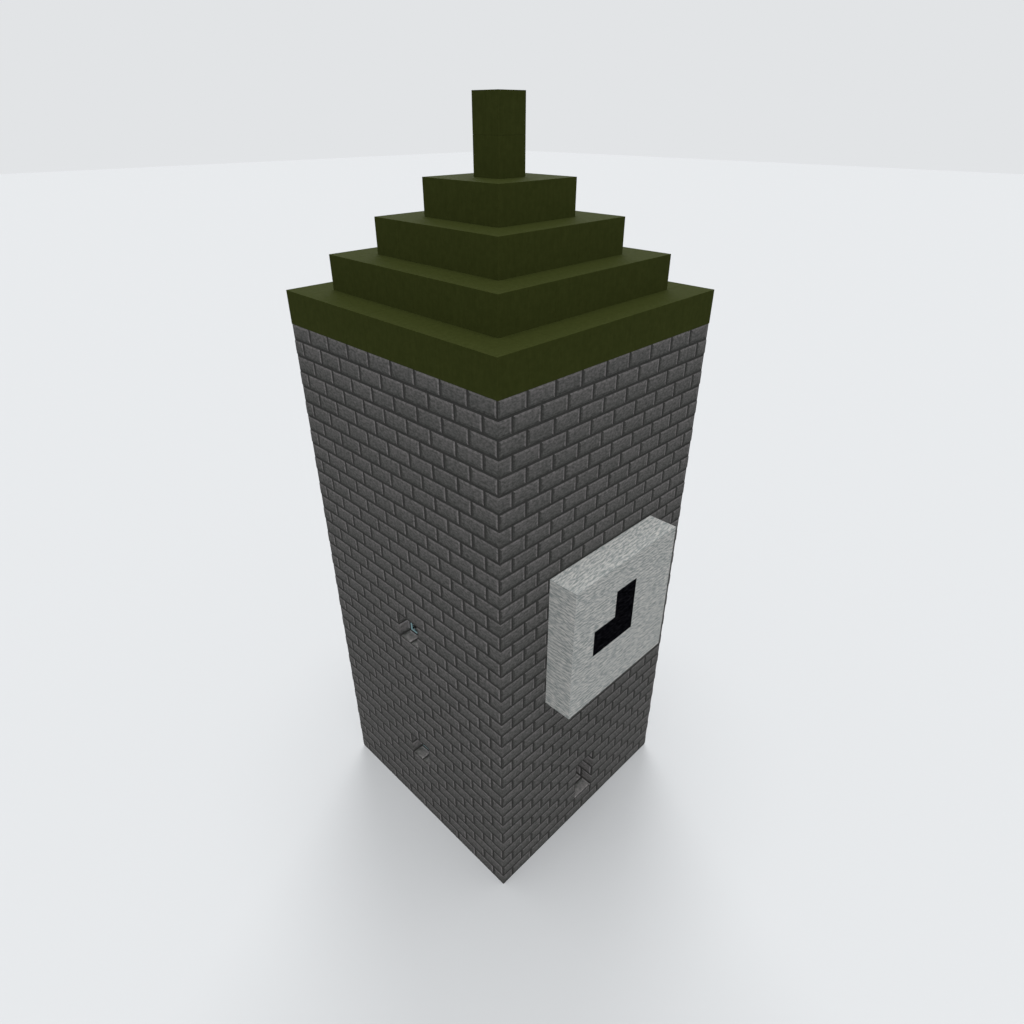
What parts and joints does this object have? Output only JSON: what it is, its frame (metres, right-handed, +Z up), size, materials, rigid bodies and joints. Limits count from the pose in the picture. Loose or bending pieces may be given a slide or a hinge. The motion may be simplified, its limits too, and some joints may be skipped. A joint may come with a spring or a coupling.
{
  "type": "clock tower",
  "caption": "Square grey stone clock tower with a stepped clay roof, a square spire, a raised white dial with flush black hands, small windows and an open doorway.",
  "frame": {"origin": "centre of the tower's footprint at ground level, on the underside of the plinth", "axes": "+Z up, -Y out of the dial and the doorway (front), -X out of the left wall with its windows"},
  "size_m": [9, 10, 25],
  "materials": {
    "wall_stone": "dark grey split-faced ashlar with recessed joints",
    "roof_clay": "matte olive-green fired clay",
    "dial_white": "pale grey-white stone with short wavy tooling",
    "hand_black": "black stone with short wavy tooling",
    "window_metal": "pale blue-grey paint, satin",
    "window_glass": "clear, faintly blue",
    "floor_timber": "sawn oak, oiled"
  },
  "bodies": {
    "root": {"plinth": "wall_stone", "front_wall_left_of_door": "wall_stone", "front_wall_right_of_door": "wall_stone", "front_wall_over_door": "wall_stone", "front_wall_upper": "wall_stone", "front_wall_top": "wall_stone", "left_wall_lower": "wall_stone", "left_wall_upper": "wall_stone", "left_wall_top": "wall_stone", "right_wall_lower": "wall_stone", "right_wall_upper": "wall_stone", "right_wall_top": "wall_stone", "back_wall_lower": "wall_stone", "back_wall_upper": "wall_stone", "back_wall_top": "wall_stone", "roof_step_1_front": "roof_clay", "roof_step_1_right": "roof_clay", "roof_step_1_back": "roof_clay", "roof_step_1_left": "roof_clay", "roof_step_2_front": "roof_clay", "roof_step_2_right": "roof_clay", "roof_step_2_back": "roof_clay", "roof_step_2_left": "roof_clay", "roof_step_3": "roof_clay", "roof_step_4": "roof_clay", "spire": "roof_clay", "dial_stone": "dial_white", "hand_hub": "hand_black", "minute_hand": "hand_black", "hour_hand": "hand_black", "left_lower_window_frame": "window_metal", "left_upper_window_frame": "window_metal", "right_lower_window_frame": "window_metal", "right_upper_window_frame": "window_metal", "back_lower_window_frame": "window_metal", "back_upper_window_frame": "window_metal", "left_lower_window_glass": "window_glass", "left_upper_window_glass": "window_glass", "right_lower_window_glass": "window_glass", "right_upper_window_glass": "window_glass", "back_lower_window_glass": "window_glass", "back_upper_window_glass": "window_glass", "upper_floor_beams": "floor_timber", "upper_floor_deck": "floor_timber"}
  },
  "joints": []
}
